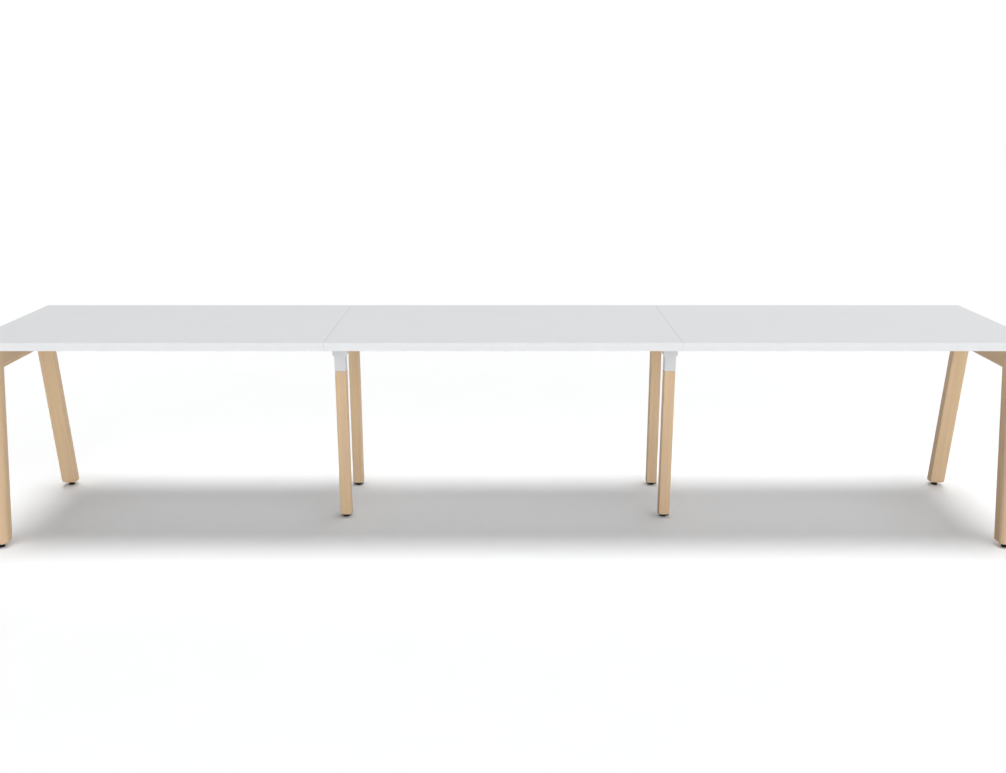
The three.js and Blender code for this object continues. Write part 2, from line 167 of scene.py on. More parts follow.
def combine(piece, operation, shapes):
    for shape in shapes:
        other = new_piece("other", *shape)
        step = piece.modifiers.new("combine", "BOOLEAN")
        step.operation = operation
        step.solver = "EXACT"
        step.object = other
        result = piece.evaluated_get(bpy.context.evaluated_depsgraph_get())
        mesh = bpy.data.meshes.new_from_object(result)
        piece.modifiers.clear()
        piece.data = mesh
        bpy.data.objects.remove(other)


def cut(piece, *shapes):
    """Takes closed bodies away from a piece."""
    combine(piece, "DIFFERENCE", shapes)


def fuse(piece, *shapes):
    """Grows closed bodies onto a piece."""
    combine(piece, "UNION", shapes)


def rounded_rect(width, depth, radius, steps=6):
    """Corner arcs of an upright rectangle about the middle, as a function of how far it is inset."""
    def outline(inset):
        bend = max(radius - inset, 0.02 * MM)
        points = []
        for quarter, (sign_x, sign_y) in enumerate(((1, -1), (1, 1), (-1, 1), (-1, -1))):
            centre_x = sign_x * (width / 2 - inset - bend)
            centre_y = sign_y * (depth / 2 - inset - bend)
            for step in range(steps + 1):
                angle = (quarter - 1 + step / steps) * math.pi / 2
                points.append((centre_x + bend * math.cos(angle), centre_y + bend * math.sin(angle)))
        return points
    return outline


def mitred(corners):
    """Any outline that turns anticlockwise, as a function of how far it is inset."""
    def outline(inset):
        points = []
        for index, corner in enumerate(corners):
            here = Vector(corner)
            before = (here - Vector(corners[index - 1])).normalized()
            after = (Vector(corners[(index + 1) % len(corners)]) - here).normalized()
            inward = Vector((-before.y - after.y, before.x + after.x))
            inward /= 1 + before.dot(after)
            points.append(tuple(here + inward * inset))
        return points
    return outline


def arc(centre, radius, start, end, steps=6):
    turns = [math.radians(start + (end - start) * step / steps) for step in range(steps + 1)]
    return [(centre[0] + radius * math.cos(turn), centre[1] + radius * math.sin(turn)) for turn in turns]


def placed(axis, centre, outline, along):
    """An outline's points in 3-D, at one place along the axis. The outline is in the other two axes."""
    across, up = centre
    if axis == "X":
        return [(along, across + u, up + v) for u, v in outline]
    if axis == "Y":
        return [(across + u, along, up + v) for u, v in outline]
    return [(across + u, up + v, along) for u, v in outline]


def prism(axis, centre, section, start, end, ease, steps=3):
    """A section run from start to end along an axis, with its end edges rounded by ease."""
    rings = []
    for step in range(steps + 1):
        angle = step / steps * math.pi / 2
        along = start + ease * (1 - math.cos(angle))
        rings.append(placed(axis, centre, section(ease * (1 - math.sin(angle))), along))
    for step in range(steps, -1, -1):
        angle = step / steps * math.pi / 2
        along = end - ease * (1 - math.cos(angle))
        rings.append(placed(axis, centre, section(ease * (1 - math.sin(angle))), along))
    return loft(rings)


def tube(axis, centre, section, wall, start, end):
    outer, inner = section(0), section(wall)
    rings = [(outer, start), (outer, end), (inner, end), (inner, start)]
    return loft([placed(axis, centre, outline, along) for outline, along in rings], closed=True)


def ring(height, radius, points=48):
    """One level of a turned shape about Z. The radius is a length, or a function of the angle."""
    at = radius if callable(radius) else lambda angle: radius
    turns = [2 * math.pi * step / points for step in range(points)]
    return [(at(turn) * math.cos(turn), at(turn) * math.sin(turn), height) for turn in turns]


def hexagon(across_flats):
    return lambda turn: across_flats / 2 / math.cos((turn + math.pi / 6) % (math.pi / 3) - math.pi / 6)


def lobed(radius, lobes, depth):
    return lambda turn: radius - depth * (0.5 - 0.5 * math.cos(lobes * turn))


def aim(shape, place, direction):
    """A shape made about the Z axis, turned so that Z points along a direction and moved to its place."""
    points, faces = shape
    turn = Vector(direction).to_track_quat("Z", "Y")
    return [tuple(turn @ Vector(point) + Vector(place)) for point in points], faces


# Fasteners, made with the head's seat at the origin and the shank down along -Z

def pan_screw(length):
    socket = lobed(1.9 * MM, 6, 0.5 * MM)
    head = [(0, 4.2), (0.6, 4.6), (1.5, 4.3), (2.3, 3.3), (2.6, 2.3)]
    rings = [ring(-length, 0.4 * MM), ring(-length + 3 * MM, SCREW_RADIUS), ring(0, SCREW_RADIUS)]
    rings += [ring(height * MM, radius * MM) for height, radius in head]
    rings += [ring(2.6 * MM, socket), ring(1.0 * MM, socket)]
    return loft(rings)


def hex_bolt(length):
    sides = hexagon(9.6 * MM)
    flange = [(0, 5.9), (0.7, 5.9), (0.9, 5.4)]
    rings = [ring(-length, 2.4 * MM), ring(-length + 0.6 * MM, BOLT_RADIUS), ring(0, BOLT_RADIUS)]
    rings += [ring(height * MM, radius * MM) for height, radius in flange]
    rings += [ring(0.9 * MM, sides), ring(3.9 * MM, sides), ring(4.4 * MM, 4.5 * MM)]
    return loft(rings)


# Node materials

class Paint:
    """A material with short ways to add nodes in front of its Principled shader."""

    def __init__(self, name, **constants):
        self.material = bpy.data.materials.new(name)
        self.material.use_nodes = True
        self.tree = self.material.node_tree
        self.shader = self.tree.nodes["Principled BSDF"]
        for socket, value in constants.items():
            self.shader.inputs[socket.replace("_", " ")].default_value = value

    def node(self, kind, settings=(), **inputs):
        made = self.tree.nodes.new("ShaderNode" + kind)
        for name, value in dict(settings).items():
            setattr(made, name, value)
        for name, value in inputs.items():
            self.feed(made.inputs[int(name[1:]) if name[1:].isdigit() else name.replace("_", " ")], value)
        return made

    def feed(self, socket, value):
        if isinstance(value, bpy.types.NodeSocket):
            self.tree.links.new(value, socket)
        else:
            socket.default_value = value

    def place(self, scale=(1, 1, 1), rotation=(0, 0, 0), location=(0, 0, 0), kind="Object"):
        """Coordinates on the object, turned, moved and then stretched."""
        source = self.node("TexCoord").outputs[kind]
        turned = self.node("Mapping", Vector=source, Rotation=rotation, Location=location).outputs[0]
        return self.node("Mapping", Vector=turned, Scale=scale).outputs[0]

    def noise(self, vector, scale, detail=2.0, roughness=0.5):
        made = self.node("TexNoise", Vector=vector, Scale=scale, Detail=detail, Roughness=roughness)
        return made.outputs["Fac"]

    def span(self, value, low, high, out_low=0.0, out_high=1.0, smooth=False):
        kind = "SMOOTHSTEP" if smooth else "LINEAR"
        made = self.node("MapRange", {"interpolation_type": kind}, _0=value, _1=low, _2=high,
                         _3=out_low, _4=out_high)
        return made.outputs[0]

    def math(self, operation, first, second=0.0, third=0.0):
        return self.node("Math", {"operation": operation}, _0=first, _1=second, _2=third).outputs[0]

    def mix(self, amount, first, second, kind="MIX"):
        made = self.node("Mix", {"data_type": "RGBA", "blend_type": kind}, _0=amount, _6=first, _7=second)
        return made.outputs[2]

    def bump(self, height, distance, strength=1.0):
        made = self.node("Bump", Height=height, Distance=distance, Strength=strength)
        self.feed(self.shader.inputs["Normal"], made.outputs[0])

    def colour(self, value):
        self.feed(self.shader.inputs["Base Color"], value)

    def rough(self, value):
        self.feed(self.shader.inputs["Roughness"], value)

    def edge_wear_and_highlight(self, low=0.52, high=0.62):
        """0 on flat faces, 1 on a sharp outer edge. It masks rubbed edges, and a painted highlight along
        edges.
        """
        return self.span(self.node("NewGeometry").outputs["Pointiness"], low, high, smooth=True)


def shade(colour, factor):
    return tuple(channel * factor for channel in colour) + (1,)


def make_laminate():
    paint = Paint("laminate", Specular_IOR_Level=0.2)
    base = (0.714, 0.722, 0.737)
    coords = paint.place()
    pearl = paint.noise(coords, 900, 3)
    clouds = paint.noise(coords, 7, 3)
    tone = paint.mix(paint.span(pearl, 0.3, 0.7), shade(base, 0.985), shade(base, 1.015))
    paint.colour(paint.mix(paint.span(clouds, 0.35, 0.65), tone, shade(base, 0.99)))
    scuffs = paint.noise(paint.place(scale=(6, 60, 60), rotation=(0, 0, 0.5)), 3, 4)
    sheen = paint.span(pearl, 0.3, 0.7, 0.50, 0.58)
    paint.rough(paint.math("ADD", sheen, paint.span(scuffs, 0.6, 0.8, 0, 0.05)))
    paint.bump(pearl, 0.02 * MM)
    return paint.material


def make_edge_band():
    paint = Paint("edge_band", Specular_IOR_Level=0.4)
    base = (0.668, 0.675, 0.689)
    drawn = paint.noise(paint.place(scale=(2, 2, 1500)), 1, 3)
    speck = paint.noise(paint.place(), 1200, 2)
    tone = paint.mix(paint.span(drawn, 0.35, 0.65), shade(base, 0.985), shade(base, 1.01))
    # Painted highlight: the band's sharp outer edges are painted paler.
    paint.colour(paint.mix(paint.math("MULTIPLY", paint.edge_wear_and_highlight(), 0.3), tone, shade(base, 1.05)))
    paint.rough(paint.span(drawn, 0.3, 0.7, 0.34, 0.44))
    height = paint.math("MULTIPLY_ADD", speck, 0.5, drawn)
    paint.bump(height, 0.02 * MM)
    return paint.material


def make_timber(name, tilt, seed):
    """Pale beech. The grain runs along the axis that the tilt about X turns onto Z."""
    draw = random.Random(seed)
    pith = (draw.uniform(0.05, 0.13), draw.uniform(0.05, 0.13), draw.uniform(0, 5))
    turn = (tilt, 0, 0)
    paint = Paint(name, Specular_IOR_Level=0.12)
    coords = paint.place(rotation=turn, location=pith)
    split = paint.node("SeparateXYZ", Vector=coords)
    lean = paint.math("MULTIPLY_ADD", split.outputs["Z"], 0.02, split.outputs["X"])
    radial = paint.node("CombineXYZ", X=lean, Y=split.outputs["Y"])
    distance = paint.node("VectorMath", {"operation": "LENGTH"}, Vector=radial.outputs[0]).outputs["Value"]
    sway = paint.noise(paint.place(scale=(14, 14, 1.6), rotation=turn, location=pith), 1, 3)
    warped = paint.math("MULTIPLY_ADD", sway, 14 * MM, distance)
    rings = paint.math("FRACT", paint.math("DIVIDE", warped, 3.4 * MM))
    late = paint.math("MULTIPLY", paint.span(rings, 0.35, 0.9, smooth=True),
                      paint.span(rings, 1.0, 0.93, smooth=True))
    fibre = paint.noise(paint.place(scale=(1500, 1500, 26), rotation=turn, location=pith), 1, 4, 0.6)
    streak = paint.noise(paint.place(scale=(240, 240, 5), rotation=turn, location=pith), 1, 3)
    broad = paint.noise(paint.place(scale=(60, 60, 1.5), rotation=turn, location=pith), 1, 2)
    flecks = paint.node("TexVoronoi", Scale=1.0,
                        Vector=paint.place(scale=(850, 850, 130), rotation=turn, location=pith))
    fleck = paint.span(flecks.outputs["Distance"], 0.12, 0.24, 1, 0)
    yellow = (0.628, 0.462, 0.280)
    pink = (0.580, 0.402, 0.276)
    tone = paint.mix(paint.span(broad, 0.38, 0.62, smooth=True), shade(yellow, 1.0), shade(pink, 1.0))
    tone = paint.mix(paint.math("MULTIPLY", late, 0.5), tone, shade(pink, 0.86))
    tone = paint.mix(paint.span(streak, 0.35, 0.65, 0, 0.6), tone, shade(yellow, 0.80))
    tone = paint.mix(paint.span(fibre, 0.35, 0.7, 0, 0.4), tone, shade(yellow, 0.84))
    tone = paint.mix(paint.math("MULTIPLY", fleck, 0.35), tone, shade(pink, 0.62))
    normal = paint.node("SeparateXYZ", Vector=paint.place(rotation=turn, kind="Normal"))
    across = paint.math("ABSOLUTE", normal.outputs["Z"])
    tone = paint.mix(paint.span(across, 0.6, 0.95, 0, 0.55, smooth=True), tone, shade(pink, 0.66))
    # Painted highlight: the sharp arrises are painted paler.
    paint.colour(paint.mix(paint.math("MULTIPLY", paint.edge_wear_and_highlight(), 0.35), tone, shade(yellow, 1.12)))
    paint.rough(paint.span(fibre, 0.3, 0.7, 0.46, 0.6))
    grain = paint.math("MULTIPLY_ADD", late, 0.35, fibre)
    paint.bump(paint.math("SUBTRACT", grain, paint.math("MULTIPLY", fleck, 0.5)), 0.07 * MM, 0.8)
    return paint.material


def make_powder_coat():
    paint = Paint("light_steel", Specular_IOR_Level=0.5)
    base = (0.541, 0.542, 0.550)
    coords = paint.place()
    peel = paint.noise(coords, 1100, 2)
    grit = paint.noise(coords, 5200, 2)
    patch = paint.noise(coords, 24, 3)
    tone = paint.mix(paint.span(peel, 0.3, 0.7), shade(base, 0.975), shade(base, 1.02))
    tone = paint.mix(paint.span(patch, 0.4, 0.7, 0, 0.5), tone, shade(base, 0.97))
    # The sharp outer edges are painted paler: thin powder there, and a painted highlight.
    paint.colour(paint.mix(paint.math("MULTIPLY", paint.edge_wear_and_highlight(), 0.4), tone, shade(base, 1.1)))
    paint.rough(paint.span(peel, 0.3, 0.7, 0.38, 0.5))
    paint.bump(paint.math("MULTIPLY_ADD", grit, 0.3, peel), 0.05 * MM)
    return paint.material


def make_moulded(name, base, fine, dust, dusty):
    """Moulded plastic with a spark-eroded texture, paler where its edges are rubbed."""
    paint = Paint(name, Specular_IOR_Level=0.25)
    coords = paint.place()
    texture = paint.noise(coords, fine, 3, 0.6)
    patch = paint.noise(coords, 90, 3)
    tone = paint.mix(paint.span(texture, 0.3, 0.7), shade(base, 0.93), shade(base, 1.06))
    rubbed = paint.math("MULTIPLY", paint.edge_wear_and_highlight(), paint.span(patch, 0.35, 0.6, 0.2, 1))
    paint.colour(paint.mix(paint.math("MULTIPLY", rubbed, dusty), tone, shade(dust, 1)))
    paint.rough(paint.span(patch, 0.3, 0.7, 0.50, 0.63))
    paint.bump(texture, 0.04 * MM)
    return paint.material


def make_zinc():
    paint = Paint("zinc_steel", Metallic=1.0)
    coords = paint.place()
    patch = paint.noise(coords, 260, 2)
    grain = paint.noise(coords, 2600, 3)
    tone = paint.mix(paint.span(patch, 0.35, 0.65), (0.60, 0.63, 0.68, 1), (0.70, 0.67, 0.60, 1))
    paint.colour(paint.mix(paint.span(grain, 0.4, 0.75, 0, 0.4), tone, (0.42, 0.43, 0.45, 1)))
    paint.rough(paint.span(grain, 0.3, 0.7, 0.28, 0.42))
    paint.bump(grain, 0.02 * MM)
    return paint.material


materials = {
    "laminate": make_laminate(),
    "edge_band": make_edge_band(),
    "light_steel": make_powder_coat(),
    "cap_plastic": make_moulded("cap_plastic", (0.56, 0.57, 0.585), 2600, (0.7, 0.7, 0.7), 0.3),
    "black_nylon": make_moulded("black_nylon", (0.012, 0.011, 0.011), 3200, (0.06, 0.06, 0.056), 0.4),
    "zinc_steel": make_zinc(),
}


def dress(piece, slot, body="table", node=None, material=None):
    """Finishes a piece: its material and shading, the body it rides on, and the CAD node it stands for."""
    piece.data.materials.clear()
    piece.data.materials.append(material or materials[slot])
    piece.data.shade_smooth()
    piece.data.set_sharp_from_angle(angle=SHARP_ANGLE)
    weighted = piece.modifiers.new("weighted_normals", "WEIGHTED_NORMAL")
    weighted.keep_sharp = True
    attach(piece, body)
    if node:
        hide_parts(node)
    return piece


# Worktops

def make_worktop(bay):
    low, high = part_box(f"edge_band_{bay}")
    start = low.x if bay == "left" else low.x - SEAM_REACH
    finish = high.x if bay == "right" else high.x + SEAM_REACH
    centre = ((start + finish) / 2, (low.y + high.y) / 2)
    width, depth = finish - start, high.y - low.y
    inset = 2 * BOARD_EDGE + 0.1 * MM
    face = rounded_rect(width - inset, depth - inset, 0.5 * MM, 2)
    board = new_piece(f"worktop_{bay}_board", *prism("Z", centre, face, low.z, high.z, 0.05 * MM, 1))
    dress(board, "laminate", node=f"worktop_{bay}")
    outline = rounded_rect(width, depth, 0.8 * MM)
    arris = 0.6 * MM
    rings = [(BOARD_EDGE, low.z), (arris, low.z)]
    for sign, level in ((1, low.z + arris), (-1, high.z - arris)):
        for step in range(1, 6):
            angle = (step / 5 if sign > 0 else 1 - (step - 1) / 5) * math.pi / 2
            rings.append((arris * (1 - math.sin(angle)), level - sign * arris * math.cos(angle)))
    rings += [(arris, high.z), (BOARD_EDGE, high.z)]
    shape = loft([placed("Z", centre, outline(step), level) for step, level in rings], closed=True)
    dress(new_piece(f"edge_band_{bay}_strip", *shape), "edge_band", node=f"edge_band_{bay}")


# End frames

def leg_outer(height):
    """How far a leg's outer face stands from the middle of the table's width."""
    return cad_box[1].y - (height - WOOD_BOTTOM) * math.tan(SPLAY)


def leg_ring(low, high, end, height, inset):
    half_x = (high.x - low.x) / 2 - inset
    half_y = LEG_DEPTH / 2 - inset
    centre_x = (low.x + high.x) / 2
    centre_y = end * (leg_outer(height) - LEG_DEPTH / 2)
    points = []
    for quarter, (sign_x, sign_y) in enumerate(((1, -1), (1, 1), (-1, 1), (-1, -1))):
        outward = sign_y == end
        radius = max((LEG_OUTER_ROUND if outward else LEG_INNER_ROUND) - inset, 0.4 * MM)
        steps = 14 if outward else 5
        for step in range(steps + 1):
            angle = (quarter - 1 + step / steps) * math.pi / 2
            x = centre_x + sign_x * (half_x - radius) + radius * math.cos(angle)
            y = centre_y + sign_y * (half_y - radius) + radius * math.sin(angle)
            points.append((x, y, height))
    return points


def tenon(low, high, clearance):
    """Both ends of a crossbar's tongue, for the crossbar, or the mortises that take them, for the legs."""
    bottom = low.z + TENON_MARGIN - clearance
    top = high.z - TENON_MARGIN + clearance
    reach = TENON_REACH + clearance
    low_y = leg_outer(bottom) - LEG_DEPTH + reach
    high_y = leg_outer(top) - LEG_DEPTH + reach
    corners = [(-low_y, bottom), (low_y, bottom), (high_y, top), (-high_y, top)]
    middle = (low.x + high.x) / 2
    half = TENON_THICK / 2 + clearance
    return prism("X", (0, 0), mitred(corners), middle - half, middle + half, 0.4 * MM, 1)


def foot_bore(x, y, bottom):
    """Blind hole for the insert and the glide's stud."""
    levels = [(bottom - 2 * MM, INSERT_HOLE), (INSERT_HOLE_TOP, INSERT_HOLE)]
    levels += [(INSERT_HOLE_TOP, STUD_HOLE), (STUD_HOLE_TOP, STUD_HOLE)]
    return aim(loft([ring(height, radius, 32) for height, radius in levels]), (x, y, 0), (0, 0, 1))


def make_end_leg(side, end, sign, seed):
    node = f"end_leg_{side}_{end}"
    low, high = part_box(node)
    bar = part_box(f"end_crossbar_{side}")
    rings = []
    steps = 10
    for step in range(steps + 1):
        angle = step / steps * math.pi / 2
        height = low.z + FOOT_ROUND * (1 - math.cos(angle))
        rings.append(leg_ring(low, high, sign, height, FOOT_ROUND * (1 - math.sin(angle))))
    rings.append(leg_ring(low, high, sign, high.z - 0.5 * MM, 0))
    rings.append(leg_ring(low, high, sign, high.z, 0.5 * MM))
    leg = new_piece(f"{node}_wood", *loft(rings))
    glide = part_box(f"glide_end_{side}_{end}")
    middle = (glide[0] + glide[1]) / 2
    cut(leg, tenon(*bar, GAP), foot_bore(middle.x, middle.y, low.z))
    dress(leg, "timber", node=node, material=make_timber(f"timber_{node}", -sign * SPLAY, seed))


def make_crossbar(side, seed):
    node = f"end_crossbar_{side}"
    low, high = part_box(node)
    low_y = leg_outer(low.z) - LEG_DEPTH - GAP
    high_y = leg_outer(high.z) - LEG_DEPTH - GAP
    corners = [(-low_y, low.z), (low_y, low.z), (high_y, high.z), (-high_y, high.z)]
    bar = new_piece(f"{node}_wood", *prism("X", (0, 0), mitred(corners), low.x, high.x, 1.5 * MM, 4))
    fuse(bar, tenon(low, high, 0))
    dress(bar, "timber", node=node, material=make_timber(f"timber_{node}", math.pi / 2, seed))


def make_end_bracket(side, sign):
    node = f"end_bracket_{side}"
    low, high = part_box(node)
    leg = 40 * MM
    root = 3.5 * MM
    toe = 1.2 * MM
    outer = (high.x if sign > 0 else low.x) * sign
    inner = outer - PLATE
    top = high.z
    bottom = top - PLATE
    corners = [(outer, top - leg + toe)]
    corners += arc((outer - 0.6 * MM, top - 0.6 * MM), 0.6 * MM, 0, 90, 3)
    corners += [(outer - leg, top)]
    corners += arc((outer - leg + toe, bottom + toe), toe, 180, 270, 4)
    corners += arc((inner - root, bottom - root), root, 90, 0, 6)
    corners += arc((inner + toe, top - leg + toe), toe, 180, 270, 4)
    if sign < 0:
        corners = [(-x, z) for x, z in reversed(corners)]
    bracket = new_piece(f"{node}_angle", *prism("Y", (0, 0), mitred(corners), low.y, high.y, 0.5 * MM, 2))
    dress(bracket, "light_steel", node=node)
    screws = []
    gauge = 27 * MM
    for offset in (-0.14, -0.06, 0.06, 0.14):
        screws.append(aim(pan_screw(22 * MM), (sign * (outer - gauge), offset, bottom), (0, 0, -1)))
    for offset in (-0.12, 0, 0.12):
        screws.append(aim(pan_screw(30 * MM), (sign * inner, offset, top - gauge), (-sign, 0, 0)))
    dress(join(f"bracket_screws_{side}", screws), "zinc_steel")


# Intermediate frames

def cross_bolt(x, y, z, side, length, clearance):
    """A countersunk bolt through a socket, or with some clearance the hole that it goes in."""
    start = -1 * MM if clearance > 0 else 0.25 * MM
    head = 5.5 * MM + clearance
    shank = BOLT_RADIUS + clearance
    levels = [(start, head), (0.6 * MM, head), (3.0 * MM, shank), (length, shank)]
    rings = [ring(-depth, radius, 36) for depth, radius in reversed(levels)]
    if not clearance:
        socket = hexagon(4 * MM)
        rings += [ring(-start, 4.6 * MM, 36), ring(-start, socket, 36), ring(-start - 2.2 * MM, socket, 36)]
    return aim(loft(rings), (x + side * SOCKET_WIDTH / 2, y, z), (side, 0, 0))


def make_post(side, sign, end, seed):
    node = f"post_{side}_{end}"
    low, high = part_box(node)
    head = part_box(f"post_head_{side}_{end}")
    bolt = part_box(f"head_bolt_{side}_{end}")
    bolt_height = (bolt[0].z + bolt[1].z) / 2
    centre = ((low.x + high.x) / 2, (low.y + high.y) / 2)
    width, depth = high.x - low.x, high.y - low.y
    shoulder = head[0].z - GAP
    section = rounded_rect(width, depth, POST_ROUND, 8)
    post = new_piece(f"{node}_wood", *prism("Z", centre, section, low.z, shoulder, 0.8 * MM))
    inset = 2 * (SOCKET_WALL + GAP)
    core = rounded_rect(width - inset, depth - inset, 1 * MM, 2)
    fuse(post, prism("Z", centre, core, shoulder - 5 * MM, high.z, 1 * MM))
    hole = cross_bolt(*centre, bolt_height, sign, SOCKET_WIDTH + 1 * MM, GAP)
    cut(post, hole, foot_bore(*centre, low.z))
    dress(post, "timber", node=node, material=make_timber(f"timber_{node}", 0, seed))


def make_post_head(side, sign, end):
    node = f"post_head_{side}_{end}"
    low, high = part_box(node)
    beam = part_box(f"crossbeam_{side}")
    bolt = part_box(f"head_bolt_{side}_{end}")
    bolt_height = (bolt[0].z + bolt[1].z) / 2
    x, y = (low.x + high.x) / 2, (low.y + high.y) / 2
    half, head_half = SOCKET_WIDTH / 2, (high.x - low.x) / 2
    corner = HEAD_STEP + HEAD_ROUND
    root = 1 * MM
    corners = [(-half, low.z), (half, low.z)]
    corners += arc((half + root, HEAD_STEP - root), root, 180, 90, 3)
    corners += arc((head_half - HEAD_ROUND, corner), HEAD_ROUND, -75, 0, 8)
    corners += [(head_half, high.z), (-head_half, high.z)]
    corners += arc((HEAD_ROUND - head_half, corner), HEAD_ROUND, 180, 255, 8)
    corners += arc((-half - root, HEAD_STEP - root), root, 90, 0, 3)
    shape = prism("Y", (x, 0), mitred(corners), low.y, high.y, 0.9 * MM, 4)
    head = new_piece(f"{node}_bracket", *shape)
    floor = beam[0].z - GAP
    cavity = rounded_rect(SOCKET_WIDTH - 2 * SOCKET_WALL, high.y - low.y - 2 * SOCKET_WALL, 1 * MM, 3)
    saddle = rounded_rect(beam[1].x - beam[0].x + 2 * GAP, 2 * (high.z - floor), TUBE_ROUND, 4)
    cut(head,
        prism("Z", (x, y), cavity, low.z - 1 * MM, floor - HEAD_FLOOR, 0.3 * MM, 1),
        prism("Y", (x, high.z), saddle, low.y - 5 * MM, high.y + 5 * MM, 0.3 * MM, 1),
        cross_bolt(x, y, bolt_height, sign, SOCKET_WIDTH + 1 * MM, GAP))
    dress(head, "light_steel", node=node)
    screw = cross_bolt(x, y, bolt_height, sign, SOCKET_WIDTH - 0.2 * MM, 0)
    dress(new_piece(f"head_bolt_{side}_{end}_screw", *screw), "zinc_steel", node=f"head_bolt_{side}_{end}")


def make_foot_cap(side, end):
    node = f"foot_cap_{side}_{end}"
    low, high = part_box(node)
    centre = ((low.x + high.x) / 2, (low.y + high.y) / 2)
    section = rounded_rect(high.x - low.x, high.y - low.y, POST_ROUND)
    cap = new_piece(f"{node}_plate", *prism("Z", centre, section, low.z, high.z, 1 * MM, 4))
    hole = loft([ring(low.z - 1 * MM, STUD_HOLE), ring(high.z + 1 * MM, STUD_HOLE)])
    cut(cap, aim(hole, (*centre, 0), (0, 0, 1)))
    dress(cap, "black_nylon", node=node)


# Steelwork

def make_crossbeam(side):
    node = f"crossbeam_{side}"
    low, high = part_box(node)
    centre = ((low.x + high.x) / 2, (low.z + high.z) / 2)
    width, height = high.x - low.x, high.z - low.z
    section = rounded_rect(width, height, TUBE_ROUND)
    beam = new_piece(f"{node}_tube", *tube("Y", centre, section, BEAM_WALL, low.y, high.y))
    dress(beam, "light_steel", node=node)
    inset = 2 * (BEAM_WALL + GAP)
    core = rounded_rect(width - inset, height - inset, TUBE_ROUND - BEAM_WALL)
    for end, sign in ENDS:
        cap = f"beam_cap_{side}_{end}"
        cap_low, cap_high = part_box(cap)
        mouth = low.y if sign < 0 else high.y
        outer, inner = (cap_low.y, cap_high.y) if sign < 0 else (cap_high.y, cap_low.y)
        plate = sorted((mouth + sign * 0.05 * MM, outer))
        plug = sorted((mouth, inner))
        shapes = [prism("Y", centre, section, *plate, 1.1 * MM, 4)]
        shapes.append(prism("Y", centre, core, *plug, 0.6 * MM))
        dress(join(f"{cap}_plug", shapes), "cap_plastic", node=cap)


def make_rail(bay, end):
    node = f"rail_{bay}_{end}"
    low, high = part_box(node)
    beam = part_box("crossbeam_left")[1].z
    y = (low.y + high.y) / 2
    tube_z = beam - RAIL_HEIGHT / 2
    section = rounded_rect(RAIL_WIDTH, RAIL_HEIGHT, TUBE_ROUND)
    shapes = [tube("X", (y, tube_z), section, RAIL_WALL, low.x + PLATE, high.x - PLATE)]
    plate_top = beam - 1 * MM
    plate_z = (plate_top + low.z) / 2
    plate_section = rounded_rect(high.y - low.y, plate_top - low.z, TUBE_ROUND)
    bore = rounded_rect(RAIL_WIDTH - 2 * RAIL_WALL, RAIL_HEIGHT - 2 * RAIL_WALL, TUBE_ROUND - RAIL_WALL)
    bolts = []
    for start, sign in ((low.x, 1), (high.x, -1)):
        faces = sorted((start, start + sign * PLATE))
        plate = new_piece("plate", *prism("X", (y, plate_z), plate_section, *faces, 0.4 * MM, 2))
        cut(plate, prism("X", (y, tube_z), bore, faces[0] - 1 * MM, faces[1] + 1 * MM, 0.2 * MM, 1))
        points = [tuple(vertex.co) for vertex in plate.data.vertices]
        shapes.append((points, [tuple(face.vertices) for face in plate.data.polygons]))
        bpy.data.objects.remove(plate)
        shapes.append(weld_bead(start + sign * PLATE, sign, y, tube_z, section))
        for offset in (-32.5 * MM, 32.5 * MM):
            place = (start + sign * PLATE, y + offset, plate_z)
            bolts.append(aim(hex_bolt(14 * MM), place, (sign, 0, 0)))
    dress(join(f"{node}_frame", shapes), "light_steel", node=node)
    dress(join(f"rail_bolts_{bay}_{end}", bolts), "zinc_steel")


def make_rail_fixings(bay, end):
    """Screws up through a rail into the worktop, with a rubber spacer between the two on each."""
    low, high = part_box(f"rail_{bay}_{end}")
    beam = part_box("crossbeam_left")[1].z
    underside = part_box(f"worktop_{bay}")[0].z
    y = (low.y + high.y) / 2
    radius = 9 * MM
    levels = [(beam + 0.05 * MM, radius - 0.5 * MM), (beam + 0.6 * MM, radius)]
    levels += [(underside - 0.6 * MM, radius), (underside - 0.05 * MM, radius - 0.5 * MM)]
    spacer = loft([ring(*level) for level in levels])
    spacers = []
    screws = []
    for share in (0.17, 0.5, 0.83):
        x = low.x + share * (high.x - low.x)
        spacers.append(aim(spacer, (x, y, 0), (0, 0, 1)))
        screws.append(aim(pan_screw(45 * MM), (x, y, beam - RAIL_HEIGHT), (0, 0, -1)))
    dress(join(f"rail_spacers_{bay}_{end}", spacers), "black_nylon")
    dress(join(f"rail_screws_{bay}_{end}", screws), "zinc_steel")


def weld_bead(face, sign, y, z, section):
    """A rippled fillet weld round a rail where it meets its end plate."""
    size = 2.2 * MM
    sunk = 0.3 * MM
    outline = [Vector(point) for point in section(0)]
    path = []
    for index, here in enumerate(outline):
        after = outline[(index + 1) % len(outline)]
        count = max(1, round((after - here).length / (1.2 * MM)))
        path += [here.lerp(after, step / count) for step in range(count)]
    draw = random.Random(round(face * 1000 + y * 100))
    rings = []
    for index, here in enumerate(path):
        outward = Vector((here.x / RAIL_WIDTH, here.y / RAIL_HEIGHT)).normalized()
        swell = size * (1 + 0.12 * math.sin(index * 1.9) + draw.uniform(-0.06, 0.06))
        across = [(0, -sunk), (0, swell), (swell * 0.45, swell * 0.5), (swell, 0), (swell, -sunk)]
        rise = min(outward.y, 0)
        rings.append([(face + sign * along, y + here.x + outward.x * out, z + here.y + rise * out)
                      for along, out in across])
    return loft(rings, closed=True)


